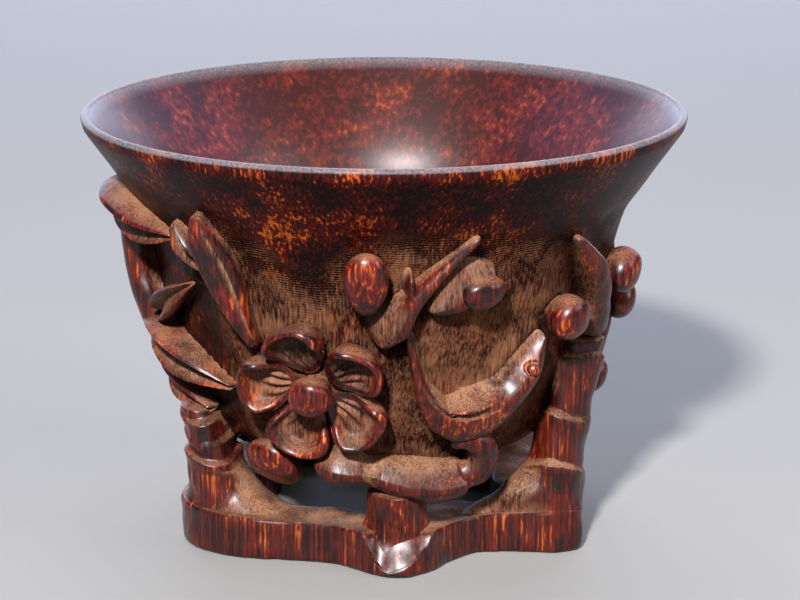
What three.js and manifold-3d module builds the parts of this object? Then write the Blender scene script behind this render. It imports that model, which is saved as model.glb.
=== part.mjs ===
// A small carved libation cup: a flared bowl on an openwork foot of gnarled plum trunks,
// with branches, blossoms, buds and leaves standing in high relief round the wall.
// Millimetres, +Z up, origin on the table under the middle of the bowl, front towards -Y.
import * as THREE from 'three';
import { mergeVertices } from 'three/addons/utils/BufferGeometryUtils.js';
import Module from 'manifold-3d';

const wasm = await Module();
wasm.setup();

// Bowl
const CUP_HEIGHT = 56;
const RIM_RADIUS = 40;
const NECK_RADIUS = 32.6;
const WAIST_RADIUS = 29.6;
const HIP_RADIUS = 24.4;
const UNDERSIDE_RADIUS = 17;
const BOWL_LIFT = 10.5;
const LIP_THICKNESS = 1.8;
const WALL_THICKNESS = 3.2;
const FLOOR_THICKNESS = 4.5;
const NECK_RISE = 0.72;
const WAIST_RISE = 0.46;
const HIP_RISE = 0.12;
const UNDERSIDE_RISE = 0.015;
const BOWL_SIDES = 48;
const WALL_STEPS = 16;
const HOLLOW_STEPS = 10;
const LIP_STEPS = 4;

// The underside is flat over this share of its radius, and the floor of the hollow is higher at its edge
const UNDERSIDE_FLAT = 0.6;
const FLOOR_CROWN = 0.4;

// How much thicker than at the neck the wall is at the waist, the hip and the underside
const WAIST_WALL = 1.15;
const HIP_WALL = 1.6;
const UNDERSIDE_WALL = 2;
const HIP_FLOOR = 0.55;

// Where the walls meet the lip, as shares of the lip's radius
const LIP_INSET = 0.3;
const LIP_DROP = 1.8;
const LIP_INNER_DROP = 1.2;

// Foot ring
const RING_RADIUS = 22;
const RING_WIDTH = 7.5;
const RING_HEIGHT = 5.2;
const RING_EDGE = 0.8;
const RING_ARRIS = 0.6;
const RING_SIDES = 60;

// The front lobe runs down to a low toe: its drop as a share of the height, and its spread in degrees
const TOE_AZIMUTH = 5;
const TOE_SPREAD = 10;
const TOE_DROP = 0.72;

// Each millimetre that a lobe stands out also widens and raises the ring by these shares
const LOBE_OUTWARD = 0.05;
const LOBE_INWARD = 0.02;
const LOBE_RISE = 0.02;

// Trunks: ledges where an older stretch ends, as a share of the girth, and how they stand on the ring
const KNUCKLE = 0.11;
const LEDGE_SLOPE = 0.7;
const ROOT_FLARE = 0.06;
const TRUNK_SIDES = 12;

// Blossoms
const PETAL_COUNT = 5;
const BLOSSOM_RADIUS = 9.4;
const BLOSSOM_EYE = 2.1;
const PETAL_GAP = 0.4;
const PETAL_RIM = 4.0;
const PETAL_DISH = 1.3;
const PISTIL_RADIUS = 2.6;
const PISTIL_HEIGHT = 5.0;

// Every carved piece stands this far off the piece that carries it
const CLEARANCE = 0.3;
// Edges shorter than this, left by a cut, are closed up
const SLIVER = 0.06;

const rad = THREE.MathUtils.degToRad;
const lerp = THREE.MathUtils.lerp;

// Solids: closed meshes joined and cut

function solidOf(geometry) {
  const bare = geometry.clone();
  bare.deleteAttribute('normal');
  bare.deleteAttribute('uv');
  const merged = mergeVertices(bare, 1e-4);
  const points = merged.attributes.position.array;
  const corners = merged.index.array;
  const kept = [];
  for (let i = 0; i < corners.length; i += 3) {
    const [a, b, c] = corners.subarray(i, i + 3);
    if (a !== b && b !== c && c !== a) kept.push(a, b, c);
  }
  const turned = signedVolume(points, kept) < 0 ? kept.reverse() : kept;
  const mesh = new wasm.Mesh({
    numProp: 3,
    vertProperties: new Float32Array(points),
    triVerts: new Uint32Array(turned),
  });
  return new wasm.Manifold(mesh);
}

function signedVolume(points, corners) {
  const [a, b, c] = [0, 1, 2].map(() => new THREE.Vector3());
  let sum = 0;
  for (let i = 0; i < corners.length; i += 3) {
    a.fromArray(points, corners[i] * 3);
    b.fromArray(points, corners[i + 1] * 3);
    c.fromArray(points, corners[i + 2] * 3);
    sum += a.dot(b.cross(c));
  }
  return sum / 6;
}

function geometryOf(solid) {
  const mesh = solid.getMesh();
  return new THREE.BufferGeometry()
    .setAttribute('position', new THREE.BufferAttribute(mesh.vertProperties, 3))
    .setIndex(new THREE.BufferAttribute(mesh.triVerts, 1));
}

function largestBody(solid) {
  return solid.simplify(SLIVER).decompose().sort((a, b) => b.volume() - a.volume())[0];
}

// Moves every vertex of a geometry to where the map sends it
function warp(geometry, map) {
  const place = geometry.attributes.position;
  const v = new THREE.Vector3();
  for (let i = 0; i < place.count; i++) {
    v.fromBufferAttribute(place, i);
    const to = map(v);
    place.setXYZ(i, to.x, to.y, to.z);
  }
  return geometry;
}

// The bowl's outer wall, as a curve of radius and height from the middle of its underside to the lip

const level = (rise) => lerp(BOWL_LIFT, CUP_HEIGHT, rise);
const lipRadius = LIP_THICKNESS / 2;

const outerWall = new THREE.SplineCurve([
  new THREE.Vector2(0, BOWL_LIFT),
  new THREE.Vector2(UNDERSIDE_RADIUS * UNDERSIDE_FLAT, BOWL_LIFT),
  new THREE.Vector2(UNDERSIDE_RADIUS, level(UNDERSIDE_RISE)),
  new THREE.Vector2(HIP_RADIUS, level(HIP_RISE)),
  new THREE.Vector2(WAIST_RADIUS, level(WAIST_RISE)),
  new THREE.Vector2(NECK_RADIUS, level(NECK_RISE)),
  new THREE.Vector2(RIM_RADIUS - lipRadius * LIP_INSET, CUP_HEIGHT - lipRadius * LIP_DROP),
]);
const wallLength = outerWall.getLength();

// How far up the wall, along its surface, a height lies
function climb(rise) {
  let [low, high] = [0, 1];
  for (let i = 0; i < 24; i++) {
    const middle = (low + high) / 2;
    if (outerWall.getPointAt(middle).y < level(rise)) low = middle;
    else high = middle;
  }
  return low * wallLength;
}

// A point by its degrees round from the front, its way up the wall and its height off the surface
function wallPoint(azimuth, up, off = 0) {
  const share = THREE.MathUtils.clamp(up / wallLength, 0, 1);
  const foot = outerWall.getPointAt(share);
  const along = outerWall.getTangentAt(share);
  return around(azimuth, foot.x + off * along.y, foot.y - off * along.x);
}

function around(azimuth, radius, height) {
  const angle = rad(azimuth);
  return new THREE.Vector3(radius * Math.sin(angle), -radius * Math.cos(angle), height);
}

const wallRadius = (up) => outerWall.getPointAt(THREE.MathUtils.clamp(up / wallLength, 0, 1)).x;

// Bowl: turned wall, rounded lip and a hollow with a rounded floor

const innerWall = new THREE.SplineCurve([
  new THREE.Vector2(RIM_RADIUS - LIP_THICKNESS, CUP_HEIGHT - lipRadius * LIP_INNER_DROP),
  new THREE.Vector2(NECK_RADIUS - WALL_THICKNESS, level(NECK_RISE)),
  new THREE.Vector2(WAIST_RADIUS - WALL_THICKNESS * WAIST_WALL, level(WAIST_RISE)),
  new THREE.Vector2(HIP_RADIUS - WALL_THICKNESS * HIP_WALL, level(HIP_RISE) + FLOOR_THICKNESS * HIP_FLOOR),
  new THREE.Vector2(
    UNDERSIDE_RADIUS - WALL_THICKNESS * UNDERSIDE_WALL, BOWL_LIFT + FLOOR_THICKNESS + FLOOR_CROWN),
  new THREE.Vector2(0, BOWL_LIFT + FLOOR_THICKNESS),
]);

function bowlProfile() {
  const outside = outerWall.getSpacedPoints(WALL_STEPS);
  const lip = new THREE.EllipseCurve(
    RIM_RADIUS - lipRadius, CUP_HEIGHT - lipRadius, lipRadius, lipRadius, 0, Math.PI);
  const inside = innerWall.getSpacedPoints(HOLLOW_STEPS);
  const points = [...outside, ...lip.getPoints(LIP_STEPS), ...inside];
  points[0].x = 0;
  points[points.length - 1].x = 0;
  return points;
}

function turned(profile, sides) {
  return new THREE.LatheGeometry(profile, sides).rotateX(Math.PI / 2);
}

// The space the bowl takes up, grown all round by the clearance
function bowlKeepOut() {
  const skin = outerWall.getSpacedPoints(WALL_STEPS).map((foot, i) => {
    const along = outerWall.getTangentAt(i / WALL_STEPS);
    return new THREE.Vector2(foot.x + CLEARANCE * along.y, foot.y - CLEARANCE * along.x);
  });
  skin[0].x = 0;
  return turned([...skin, new THREE.Vector2(0, CUP_HEIGHT)], BOWL_SIDES);
}

// Foot ring: a low branch bent into a ring, swelling out into a lobe under each trunk

// A trunk's place round the ring, its lobe, how far in from the ring's edge and how deep in its top it
// stands, its girth, the heights of its ledges, and the points it grows through: degrees round, rise up the
// bowl and distance off the wall
const TRUNKS = {
  left_trunk: {
    azimuth: -59, lobe: 6.8, spread: 28, inset: 3.6, sink: 0.7, foot: 4.2, top: 3.0,
    ledges: [12.7, 14.9, 17.2],
    stations: [[-60, 0.12, 2.4], [-64, 0.21, 1.4]],
  },
  front_trunk: {
    azimuth: 4, lobe: 5.0, spread: 15, inset: 5.4, sink: 2.8, foot: 4.0, top: 4.0,
    ledges: [],
    stations: [[4.5, 0.055, 2.0]],
  },
  right_trunk: {
    azimuth: 56, lobe: 7.6, spread: 13, inset: 3.4, sink: 0.7, foot: 4.0, top: 2.6,
    ledges: [10.6, 17.6, 25.8],
    stations: [[57.5, 0.13, 2.9], [59, 0.25, 1.6], [60.5, 0.42, 1.0]],
  },
  back_right_trunk: {
    azimuth: 136, lobe: 5.4, spread: 24, inset: 3.2, sink: 0.7, foot: 4.2, top: 2.5,
    ledges: [9.5, 15.5, 21],
    stations: [[134, 0.13, 3.0], [130, 0.24, 2.0], [124, 0.35, 1.2]],
  },
  back_left_trunk: {
    azimuth: -142, lobe: 5.4, spread: 24, inset: 3.2, sink: 0.7, foot: 4.2, top: 2.5,
    ledges: [11, 16.5, 22],
    stations: [[-139, 0.13, 3.0], [-134, 0.24, 2.0], [-127, 0.36, 1.2]],
  },
};

// Degrees from one direction round to another, at most half a turn either way
const turnFrom = (centre, azimuth) => THREE.MathUtils.euclideanModulo(azimuth - centre + 180, 360) - 180;

function lobeAt(azimuth) {
  let swell = 0;
  for (const { azimuth: centre, lobe, spread } of Object.values(TRUNKS)) {
    swell += lobe * Math.exp(-((turnFrom(centre, azimuth) / spread) ** 2));
  }
  return swell;
}

const ringOuter = (azimuth) => RING_RADIUS + lobeAt(azimuth);
const ringMiddle = (azimuth) => ringOuter(azimuth) - RING_WIDTH / 2;

function footRing(grow = 0) {
  const half = RING_WIDTH / 2 + grow;
  const top = RING_HEIGHT + grow;
  const section = [
    [half - RING_EDGE, 0], [half, RING_EDGE], [half, top - RING_ARRIS], [half - RING_ARRIS, top],
    [RING_EDGE - half, top], [-half, top - RING_EDGE], [-half, RING_EDGE], [RING_EDGE - half, 0],
    [half - RING_EDGE, 0],
  ].map(([x, y]) => new THREE.Vector2(RING_RADIUS + x, y));
  return warp(turned(section, RING_SIDES), (v) => {
    const azimuth = THREE.MathUtils.radToDeg(Math.atan2(v.x, -v.y));
    const across = Math.hypot(v.x, v.y) - RING_RADIUS;
    const swell = lobeAt(azimuth);
    const stretch = 1 + swell * (across > 0 ? LOBE_OUTWARD : LOBE_INWARD);
    const toe = TOE_DROP * Math.exp(-((turnFrom(TOE_AZIMUTH, azimuth) / TOE_SPREAD) ** 2));
    const rise = 1 + LOBE_RISE * swell - toe * THREE.MathUtils.smoothstep(across, 0, half);
    return around(azimuth, ringMiddle(azimuth) + across * stretch, v.z * rise);
  });
}

// Limbs: branches that stand free of the wall, as a section drawn along a curve through points off the wall

const offWall = ([azimuth, rise, off]) => wallPoint(azimuth, climb(rise), off);

// Corners of a section, outward and up, as shares of the girth. A bough has a shelf on top, a face in front
// and a round belly
const BOUGH = [
  [-1, 0.1], [-0.7, 0.85], [0.1, 0.8], [0.85, 0.4], [1, -0.1], [0.75, -0.75], [0.1, -1], [-0.75, -0.75],
];
const SHOOT = [
  [-1, 0], [-0.7, 0.7], [0, 1], [0.7, 0.7], [1, 0], [0.7, -0.7], [0, -1], [-0.7, -0.7],
];

function limb({ stations, girths, steps, section }, grow = 0) {
  const curve = new THREE.CatmullRomCurve3(stations.map(offWall), false, 'centripetal');
  const shape = new THREE.Shape(section.map(([x, y]) => new THREE.Vector2(x, y)));
  const bar = new THREE.ExtrudeGeometry(shape, { depth: 1, steps, bevelEnabled: false });
  return warp(bar, (v) => {
    const share = THREE.MathUtils.clamp(v.z, 0, 1);
    const spot = curve.getPointAt(share);
    const way = curve.getTangentAt(share);
    const outward = new THREE.Vector3(spot.x, spot.y, 0).normalize();
    outward.addScaledVector(way, -outward.dot(way)).normalize();
    const upward = new THREE.Vector3().crossVectors(outward, way);
    const girth = along(girths, share) + grow;
    const end = share === 0 ? -grow : share === 1 ? grow : 0;
    return spot
      .addScaledVector(outward, v.x * girth)
      .addScaledVector(upward, v.y * girth)
      .addScaledVector(way, end);
  });
}

// Trunks: turned with a ledge at each height, widest under it, and then bent to grow through their points

function trunk({ azimuth, inset, sink, foot, top, ledges, stations }, grow = 0) {
  const root = around(azimuth, ringOuter(azimuth) - inset, RING_HEIGHT - sink);
  const path = [root, ...stations.map(offWall)];
  const [low, high] = [root.z, path[path.length - 1].z];
  const girth = (height) => lerp(foot, top, (height - low) / (high - low)) + grow;
  const profile = [[0, low - grow], [girth(low) * (1 + ROOT_FLARE), low - grow]];
  for (const ledge of ledges) {
    profile.push([girth(ledge) * (1 + KNUCKLE), ledge + grow]);
    profile.push([girth(ledge) * (1 - KNUCKLE), ledge + LEDGE_SLOPE + grow]);
  }
  profile.push([girth(high), high + grow], [0, high + grow]);
  const column = turned(profile.map(([x, y]) => new THREE.Vector2(x, y)), TRUNK_SIDES);
  return warp(column, (v) => {
    const next = path.findIndex((point, i) => i > 0 && (point.z >= v.z || i === path.length - 1));
    const [below, above] = [path[next - 1], path[next]];
    const share = (v.z - below.z) / (above.z - below.z);
    return new THREE.Vector3(v.x + lerp(below.x, above.x, share), v.y + lerp(below.y, above.y, share), v.z);
  });
}

// The value a share of the way along a list of evenly spaced values
function along(values, share) {
  const place = share * (values.length - 1);
  const i = Math.min(Math.floor(place), values.length - 2);
  return lerp(values[i], values[i + 1], place - i);
}

// Reliefs: a section drawn along a line on the bowl's wall, standing off its surface

const ROUND = [
  [-0.72, 0], [-1, 0.42], [-0.8, 0.8], [-0.3, 1], [0.3, 1], [0.8, 0.8], [1, 0.42], [0.72, 0],
];
const FOLDED = [
  [-0.66, 0], [-1, 0.55], [-0.82, 0.92], [-0.42, 0.84], [0, 0.5], [0.42, 0.84], [0.82, 1], [1, 0.6],
  [0.66, 0],
];
// A long slope on the left of the line, and a crest over an undercut on its right
const SHELF = [
  [-0.6, 0], [-1, 0.45], [-0.94, 0.86], [-0.6, 1], [-0.15, 0.86], [0.45, 0.5], [1, 0.2], [0.9, 0],
];

// How far off the wall a share of a relief's height lies, when the relief is grown all round
const raised = (share, height, grow) => CLEARANCE + share * height + (share > 0 ? grow : -grow);

// Stations along the line: degrees round, rise up the bowl, half width and crest
function relief(stations, { section = ROUND, steps = 8, grow = 0 } = {}) {
  const line = new THREE.CatmullRomCurve3(
    stations.map(([azimuth, rise]) => new THREE.Vector3(rad(azimuth) * WAIST_RADIUS, climb(rise), 0)),
    false, 'centripetal');
  const widths = stations.map((s) => s[2]);
  const crests = stations.map((s) => s[3]);
  const shape = new THREE.Shape(section.map(([x, y]) => new THREE.Vector2(x, y)));
  const bar = new THREE.ExtrudeGeometry(shape, { depth: 1, steps, bevelEnabled: false });
  return warp(bar, (v) => {
    const share = THREE.MathUtils.clamp(v.z, 0, 1);
    const spot = line.getPoint(share);
    const way = line.getTangent(share);
    const squeeze = wallRadius(spot.y) / WAIST_RADIUS;
    way.x *= squeeze;
    way.normalize();
    const half = along(widths, share) + grow;
    const end = share === 0 ? -grow : share === 1 ? grow : 0;
    const aside = v.x * half;
    const azimuth = (spot.x + (-way.y * aside + way.x * end) / squeeze) / WAIST_RADIUS;
    const off = raised(v.y, along(crests, share), grow);
    return wallPoint(THREE.MathUtils.radToDeg(azimuth), spot.y + way.x * aside + way.y * end, off);
  });
}

// Domes: buds and knots that stand on the wall, egg-shaped in plan and turned to any direction

function dome({ azimuth, rise, length, width, height, turn = 0 }, { sides = 12, grow = 0 } = {}) {
  const profile = [[0, 0], [0.74, 0], [0.97, 0.3], [0.95, 0.6], [0.7, 0.87], [0.36, 0.98], [0, 1]]
    .map(([x, y]) => new THREE.Vector2(x, y));
  const up = climb(rise);
  const [cos, sin] = [Math.cos(rad(turn)), Math.sin(rad(turn))];
  return warp(new THREE.LatheGeometry(profile, sides), (v) => {
    const x = v.x * (width / 2 + grow) * (1 - 0.16 * v.z);
    const y = v.z * (length / 2 + grow);
    const aside = x * cos - y * sin;
    const ahead = x * sin + y * cos;
    const turnRound = THREE.MathUtils.radToDeg(aside / wallRadius(up + ahead));
    return wallPoint(azimuth + turnRound, up + ahead, raised(v.y, height, grow));
  });
}

// Petals: dished spoons with a rolled rim, set round the blossom's eye

function petal({ azimuth, rise, phase }, k, grow = 0) {
  const inner = BLOSSOM_EYE;
  const half = (BLOSSOM_RADIUS - inner) / 2;
  const centre = inner + half;
  const sector = Math.PI / PETAL_COUNT;
  const wide = (centre - half / 2) * Math.tan(sector) * 1.4 - PETAL_GAP;
  const profile = [
    [0, 0], [0.8, 0], [1, 0.45], [1, 0.82], [0.9, 1], [0.78, 0.94], [0.66, 0.6],
    [0.4, PETAL_DISH / PETAL_RIM], [0, 0.32],
  ].map(([x, y]) => new THREE.Vector2(x, y));
  const heading = rad(phase) + k * 2 * sector;
  const [cos, sin] = [Math.cos(heading), Math.sin(heading)];
  const up = climb(rise);
  return warp(new THREE.LatheGeometry(profile, 12), (v) => {
    const out = centre + v.z * (half + grow);
    const aside = v.x * (wide + grow) * (1 + 0.3 * v.z);
    const lift = lerp(0.42, 1, THREE.MathUtils.smoothstep(v.z, -0.9, 0.5));
    const x = out * cos - aside * sin;
    const y = out * sin + aside * cos;
    const turnRound = THREE.MathUtils.radToDeg(x / wallRadius(up + y));
    return wallPoint(azimuth + turnRound, up + y, raised(v.y, PETAL_RIM * lift, grow));
  });
}

function pistil({ azimuth, rise }, grow = 0) {
  const r = PISTIL_RADIUS + grow;
  const neck = BLOSSOM_EYE - CLEARANCE + grow;
  const profile = [
    [0, 0], [neck, 0], [neck, 0.3], [r, 0.5], [r * 0.97, 0.68], [r * 0.74, 0.88], [r * 0.36, 0.98], [0, 1],
  ].map(([x, y]) => new THREE.Vector2(x, y));
  const up = climb(rise);
  return warp(new THREE.LatheGeometry(profile, 12), (v) => {
    const turnRound = THREE.MathUtils.radToDeg(v.x / wallRadius(up + v.z));
    return wallPoint(azimuth + turnRound, up + v.z, raised(v.y, PISTIL_HEIGHT, grow));
  });
}

// Assembly: each piece is trimmed by those already in place, with the clearance between them

const cup = new THREE.Group();
const placed = [];

const polishedWood = new THREE.MeshStandardMaterial({ color: 0x3a140d, roughness: 0.35, metalness: 0 });
const branchWood = new THREE.MeshStandardMaterial({ color: 0x4a2015, roughness: 0.45, metalness: 0 });
const blossomWood = new THREE.MeshStandardMaterial({ color: 0x5c3020, roughness: 0.5, metalness: 0 });

function touches(a, b) {
  const [p, q] = [a.boundingBox(), b.boundingBox()];
  return [0, 1, 2].every((i) => p.min[i] < q.max[i] && q.min[i] < p.max[i]);
}

function add(name, material, make, trims = true) {
  let solid = solidOf(make(0));
  if (trims) {
    for (const keepOut of placed) {
      if (touches(solid, keepOut)) solid = solid.subtract(keepOut);
    }
    solid = largestBody(solid);
  }
  placed.push(solidOf(make(CLEARANCE)));
  const mesh = new THREE.Mesh(geometryOf(solid), material);
  mesh.name = name;
  cup.add(mesh);
}

add('bowl', polishedWood, (grow) => (grow ? bowlKeepOut() : turned(bowlProfile(), BOWL_SIDES)), false);
add('foot_ring', branchWood, (grow) => footRing(grow), false);

// Blossoms

const BLOSSOMS = {
  front: { azimuth: -17.5, rise: 0.335, phase: 33 },
  back: { azimuth: 168, rise: 0.5, phase: 15 },
};
for (const [side, blossom] of Object.entries(BLOSSOMS)) {
  add(`${side}_pistil`, blossomWood, (grow) => pistil(blossom, grow));
  for (let k = 0; k < PETAL_COUNT; k++) {
    add(`${side}_petal_${k + 1}`, blossomWood, (grow) => petal(blossom, k, grow));
  }
}

// Buds and knots

const BUDS = {
  hanging_bud: { azimuth: -3.8, rise: 0.675, length: 9.2, width: 5.2, height: 4.2, turn: 180 },
  fork_bud: { azimuth: 21.5, rise: 0.63, length: 5.6, width: 4.4, height: 3.4, turn: -70 },
  right_bud: { azimuth: 45.5, rise: 0.515, length: 5.6, width: 5.4, height: 4.4 },
  side_bud: { azimuth: 70, rise: 0.585, length: 6.2, width: 6.0, height: 4.2 },
  lower_side_bud: { azimuth: 78, rise: 0.47, length: 5.0, width: 5.0, height: 4.0 },
  side_knot: { azimuth: 83, rise: 0.225, length: 4.6, width: 4.2, height: 3.6 },
  under_bud: { azimuth: -35, rise: 0.085, length: 7.4, width: 7.0, height: 3.6, turn: 180 },
  back_bud: { azimuth: 140, rise: 0.66, length: 6.4, width: 5.0, height: 4.0, turn: 20 },
  back_low_bud: { azimuth: -160, rise: 0.26, length: 6.0, width: 5.4, height: 4.0 },
  back_left_bud: { azimuth: -118, rise: 0.62, length: 6.6, width: 5.0, height: 4.0, turn: -25 },
};
for (const [name, bud] of Object.entries(BUDS)) {
  add(name, blossomWood, (grow) => dome(bud, { grow }));
}

// Trunks, and branches that stand free of the wall

const BRANCHES = {
  front_branch: {
    section: BOUGH, steps: 10, girths: [2.0, 2.8, 2.5, 3.2, 3.4, 3.1, 2.5],
    stations: [[-20, 0.12, 1.4], [-8, 0.11, 1.5], [6, 0.085, 1.8], [17, 0.075, 2.1], [25, 0.08, 2.2]],
  },
  branch_hook: {
    section: SHOOT, steps: 8, girths: [2.3, 2.1, 1.9, 1.4],
    stations: [[26, 0.08, 2.2], [29.5, 0.12, 2.2], [27, 0.17, 1.9], [19, 0.185, 1.3]],
  },
  back_branch: {
    section: BOUGH, steps: 13, girths: [2.0, 2.9, 2.4, 3.1, 2.5, 1.8],
    stations: [[112, 0.08, 1.6], [150, 0.07, 2.0], [178, 0.09, 1.6], [205, 0.07, 1.4]],
  },
};
for (const [name, branch] of Object.entries(BRANCHES)) {
  add(name, branchWood, (grow) => limb(branch, grow));
}
for (const [name, stem] of Object.entries(TRUNKS)) {
  add(name, branchWood, (grow) => trunk(stem, grow));
}

// Leaves, stems and twigs in relief

const LEAVES = {
  long_leaf: [
    [-40, 0.83, 0.6, 1.2], [-39.5, 0.76, 2.0, 2.6], [-37.5, 0.67, 2.2, 3.0], [-35, 0.56, 1.5, 2.6],
    [-32, 0.44, 0.5, 1.2],
  ],
  small_leaf: [[-49, 0.785, 0.6, 1.2], [-47, 0.73, 1.7, 2.4], [-44, 0.68, 1.3, 2.0], [-40.5, 0.63, 0.3, 0.8]],
  upper_leaf: [[-84, 0.81, 1.0, 2.2], [-75, 0.775, 2.8, 3.4], [-63, 0.74, 2.4, 3.0], [-52, 0.73, 0.4, 1.0]],
  fork_leaf: [[-70, 0.455, 1.2, 2.4], [-61, 0.515, 1.7, 2.6], [-50.5, 0.585, 0.4, 1.0]],
  broad_leaf: [[-84, 0.415, 0.8, 2.0], [-72, 0.39, 2.4, 3.8], [-58, 0.345, 2.4, 3.6], [-43, 0.29, 0.4, 1.0]],
  low_leaf: [[-84, 0.28, 0.8, 2.0], [-72, 0.245, 2.4, 3.2], [-56, 0.19, 0.5, 1.4]],
  back_leaf: [[106, 0.6, 0.5, 1.0], [111, 0.49, 2.4, 3.0], [116, 0.37, 1.8, 2.6], [121, 0.29, 0.5, 1.2]],
  back_left_leaf: [
    [-98, 0.7, 0.5, 1.0], [-103, 0.58, 2.4, 3.0], [-110, 0.46, 1.8, 2.6], [-119, 0.38, 0.5, 1.2],
  ],
};
const SHELVES = {
  crescent_root: [
    [5.5, 0.51, 0.5, 1.2], [8.0, 0.405, 1.0, 2.0], [10.5, 0.315, 1.3, 2.8], [14, 0.255, 1.8, 3.4],
  ],
  crescent_branch: [
    [14, 0.255, 2.0, 3.4], [19, 0.235, 2.8, 4.2], [25, 0.245, 2.8, 4.2], [31, 0.29, 2.5, 3.8],
    [36, 0.375, 2.2, 3.2], [39.5, 0.465, 0.5, 1.4],
  ],
  fork_twig: [
    [-1.2, 0.475, 0.9, 1.4], [0.8, 0.535, 2.5, 2.8], [5.4, 0.605, 1.9, 3.0], [11, 0.68, 1.2, 2.6],
    [19.5, 0.79, 0.4, 1.0],
  ],
  fork_prong: [[4.4, 0.6, 1.4, 2.4], [6.4, 0.66, 1.4, 2.6], [6.8, 0.7, 0.8, 1.6]],
  bud_leaf: [[9.6, 0.575, 0.5, 1.0], [14, 0.61, 2.2, 2.0], [20, 0.66, 2.6, 2.2], [25, 0.665, 1.0, 1.2]],
};
const STEMS = {
  right_stem: [[61, 0.44, 2.2, 3.0], [58.5, 0.52, 1.8, 3.0], [54.5, 0.62, 1.9, 3.0], [46, 0.74, 0.5, 1.0]],
  left_stem: [[-74, 0.33, 2.2, 3.0], [-78, 0.46, 2.3, 3.6], [-81, 0.6, 2.2, 3.6], [-79, 0.73, 1.8, 2.8]],
  side_twig: [[64, 0.2, 2.0, 2.6], [70, 0.28, 1.6, 2.4], [74, 0.37, 1.3, 2.0], [77, 0.44, 1.0, 1.6]],
  back_twig: [[123, 0.36, 2.0, 2.8], [128, 0.5, 1.6, 2.6], [146, 0.57, 1.3, 2.4], [156, 0.56, 0.8, 1.6]],
  back_left_twig: [
    [-126, 0.37, 2.0, 2.8], [-128, 0.5, 1.6, 2.6], [-140, 0.64, 1.2, 2.2], [-158, 0.74, 0.5, 1.0],
  ],
};
for (const [name, stations] of Object.entries(LEAVES)) {
  add(name, blossomWood, (grow) => relief(stations, { section: FOLDED, grow }));
}
for (const [name, stations] of Object.entries(SHELVES)) {
  const wood = name === 'bud_leaf' ? blossomWood : branchWood;
  add(name, wood, (grow) => relief(stations, { section: SHELF, grow }));
}
for (const [name, stations] of Object.entries(STEMS)) {
  add(name, branchWood, (grow) => relief(stations, { section: ROUND, grow }));
}

export default cup;
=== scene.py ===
"""The looks of a small libation cup, carved with a plum tree from one block of dark, fibrous wood.

Metres, +Z up, front towards -Y. Each carved element is a piece of its own, as it is in the CAD frame.
Shapes are worked out in millimetres and put into the meshes in metres.
"""

import math

import bmesh
import bpy
import numpy as np
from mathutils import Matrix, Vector, noise
from mathutils.bvhtree import BVHTree


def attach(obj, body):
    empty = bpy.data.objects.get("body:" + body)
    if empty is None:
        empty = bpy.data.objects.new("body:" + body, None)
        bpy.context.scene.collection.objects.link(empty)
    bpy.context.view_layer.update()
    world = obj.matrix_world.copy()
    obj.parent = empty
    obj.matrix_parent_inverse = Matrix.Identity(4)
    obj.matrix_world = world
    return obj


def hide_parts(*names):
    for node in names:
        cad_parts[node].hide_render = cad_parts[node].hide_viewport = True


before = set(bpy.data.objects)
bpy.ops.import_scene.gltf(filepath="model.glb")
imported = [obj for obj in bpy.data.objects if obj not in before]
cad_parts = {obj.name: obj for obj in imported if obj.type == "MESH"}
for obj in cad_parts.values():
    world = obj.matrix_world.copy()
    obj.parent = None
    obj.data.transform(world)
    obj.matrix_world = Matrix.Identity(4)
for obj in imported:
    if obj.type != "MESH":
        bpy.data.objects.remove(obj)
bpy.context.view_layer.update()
MM = 0.001


# Camera
# The cup was taken from a little above its rim, about a third of a metre away, with a long lens.
LENS, SENSOR_WIDTH = 111.7, 36
CAMERA_PLACE = (0, -0.32426, 0.11727)
CAMERA_PITCH, CAMERA_YAW = 15.16, -0.37
camera = bpy.data.objects.new("camera", bpy.data.cameras.new("camera"))
camera.data.lens = LENS
camera.data.sensor_width = SENSOR_WIDTH
camera.location = CAMERA_PLACE
camera.rotation_euler = (math.radians(90 - CAMERA_PITCH), 0, math.radians(CAMERA_YAW))
bpy.context.scene.collection.objects.link(camera)
bpy.context.scene.camera = camera
bpy.context.scene.view_settings.view_transform = "Standard"


# Studio
# A pale matt table, a lamp in front to the left, a window to the right, broad cool panels behind the cup and
# above it on three sides, and an even, dim surround.
FLOOR_HALF = 1.5
FLOOR_COLOUR = "#92908d"
FLOOR_BOUNCE = "#35332f"
FLOOR_ROUGHNESS = 0.9
AIM = Vector((0, 0, 0.03))
LAMPS = {
    "key_lamp": (Vector((-0.12, -0.56, 0.47)), (0.06, 0.06), 10.5, "#ffffff"),
    "window": (Vector((0.62, -0.24, 0.42)), (0.42, 0.42), 2.5, "#ffffff"),
    "sky_panel": (Vector((0, 0.90, 0.24)), (1.4, 0.44), 8.0, "#d3dfff"),
    "back_panel": (Vector((0, 0.62, 0.70)), (0.6, 0.4), 4.5, "#f2f4ff"),
    "left_panel": (Vector((-0.66, 0.34, 0.60)), (0.7, 0.5), 1.8, "#a3baff"),
    "right_panel": (Vector((0.66, 0.34, 0.60)), (0.7, 0.5), 2.0, "#a3baff"),
}
SURROUND = 0.08


def linear(hex_colour):
    """An sRGB hex colour as linear RGBA."""
    parts = [int(hex_colour[i:i + 2], 16) / 255 for i in (1, 3, 5)]
    return (*[c / 12.92 if c <= 0.04045 else ((c + 0.055) / 1.055) ** 2.4 for c in parts], 1)


def add_node(tree, kind, inputs=None, **settings):
    """Adds a node with its settings, and gives each named input a value or the socket that feeds it."""
    node = tree.nodes.new("ShaderNode" + kind)
    for name, value in settings.items():
        setattr(node, name, value)
    for name, value in (inputs or {}).items():
        if isinstance(value, bpy.types.NodeSocket):
            tree.links.new(value, node.inputs[name])
        else:
            node.inputs[name].default_value = value
    return node


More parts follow.
